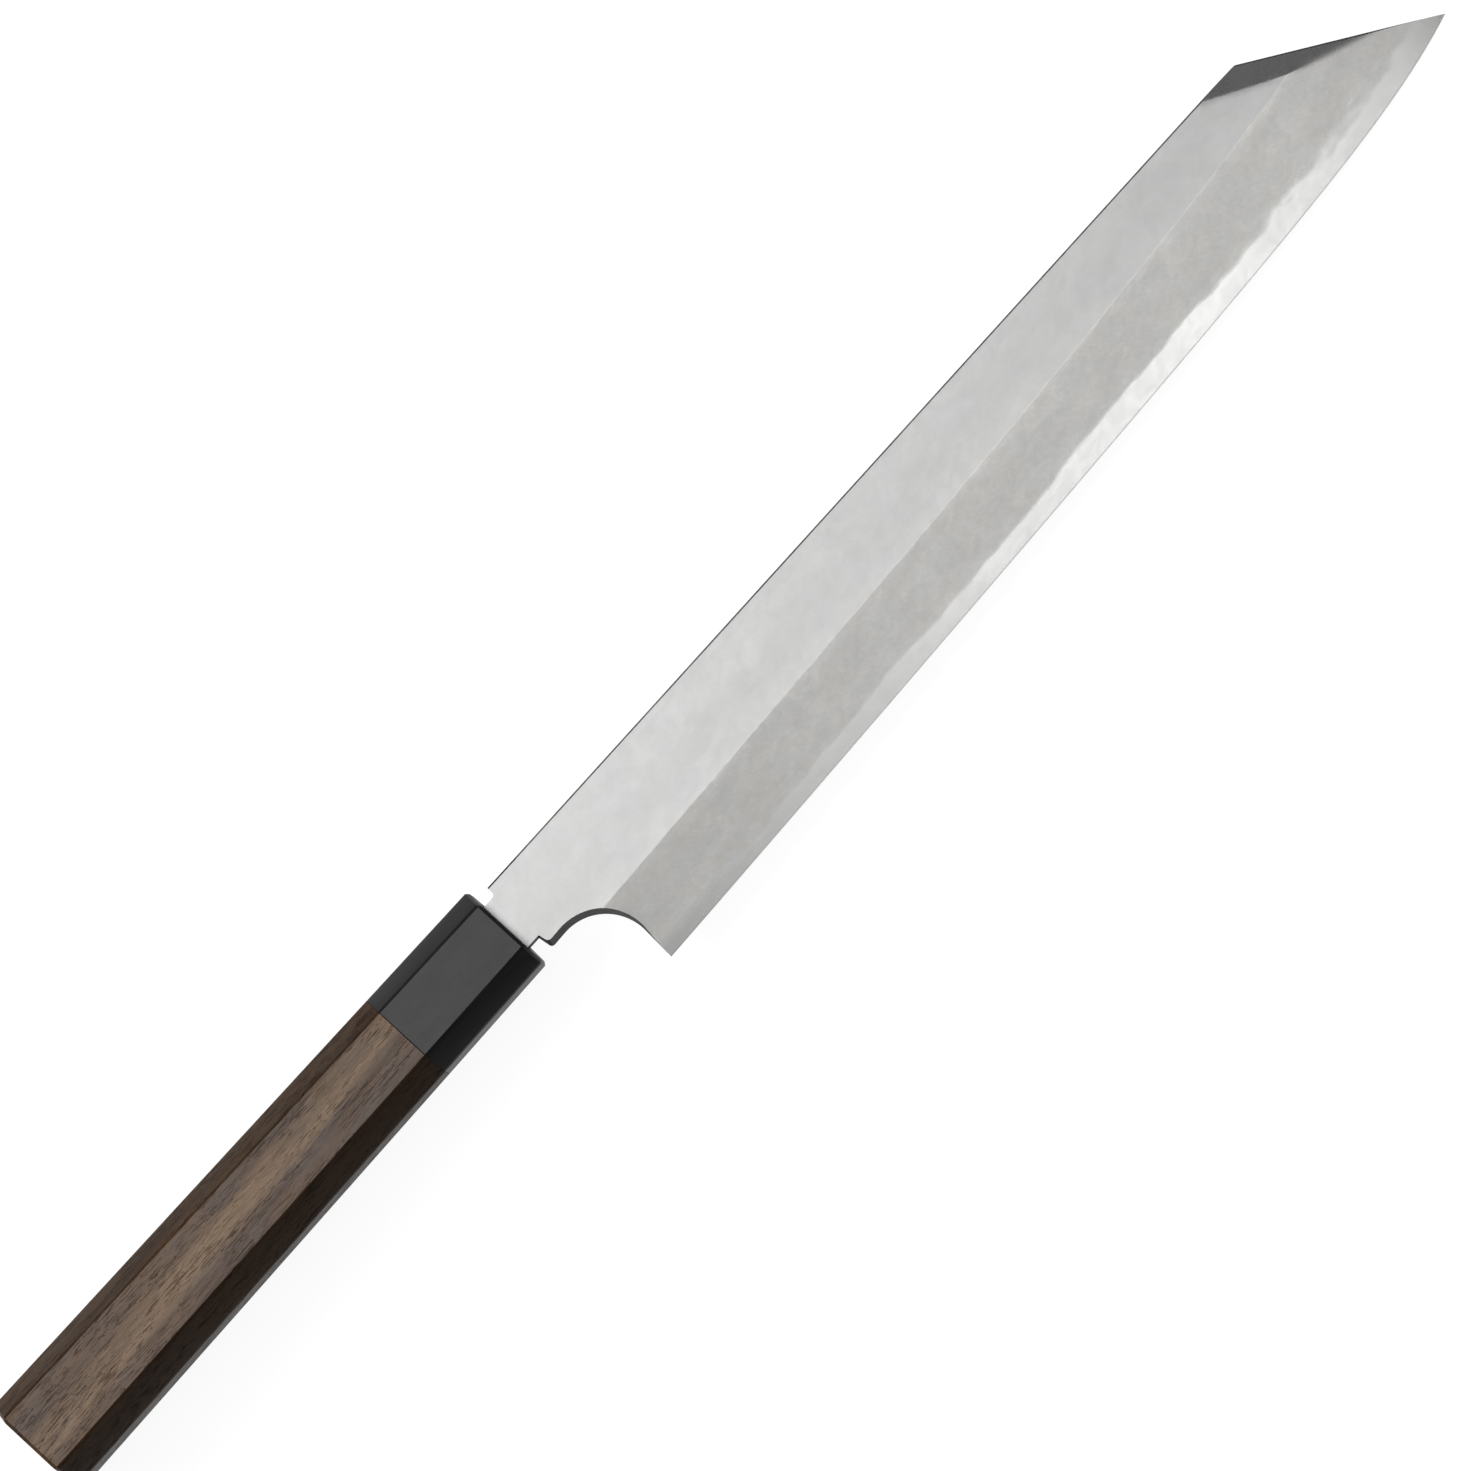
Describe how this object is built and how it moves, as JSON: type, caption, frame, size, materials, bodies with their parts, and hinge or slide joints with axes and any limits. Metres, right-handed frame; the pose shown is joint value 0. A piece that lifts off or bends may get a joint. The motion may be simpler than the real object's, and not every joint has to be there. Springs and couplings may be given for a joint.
{
  "type": "kiritsuke knife",
  "caption": "Single-bevel kitchen knife with a long clipped-point blade of iron welded to hard steel, a dark horn ferrule and an octagonal wood handle, for slicing fish and vegetables.",
  "frame": {"origin": "below the middle of the knife's box, on the level of its lowest point, the handle's lower flat at the butt", "axes": "+X along the handle towards the point, +Y towards the spine, +Z out of the bevelled face"},
  "size_m": [0.4198, 0.0418, 0.0221],
  "materials": {
    "clad_iron": "satin flat face, hazy stone-polished bevel",
    "hard_steel": "bright stone polish",
    "black_horn": "satin horn",
    "dark_wood": "satin, open pores",
    "pale_wood": "raw",
    "resin": "satin"
  },
  "bodies": {
    "root": {"blade_body": "clad_iron", "edge_steel": "hard_steel", "ferrule": "black_horn", "handle_grip": "dark_wood", "handle_dowel": "pale_wood", "tang_seal": "resin"}
  },
  "joints": []
}
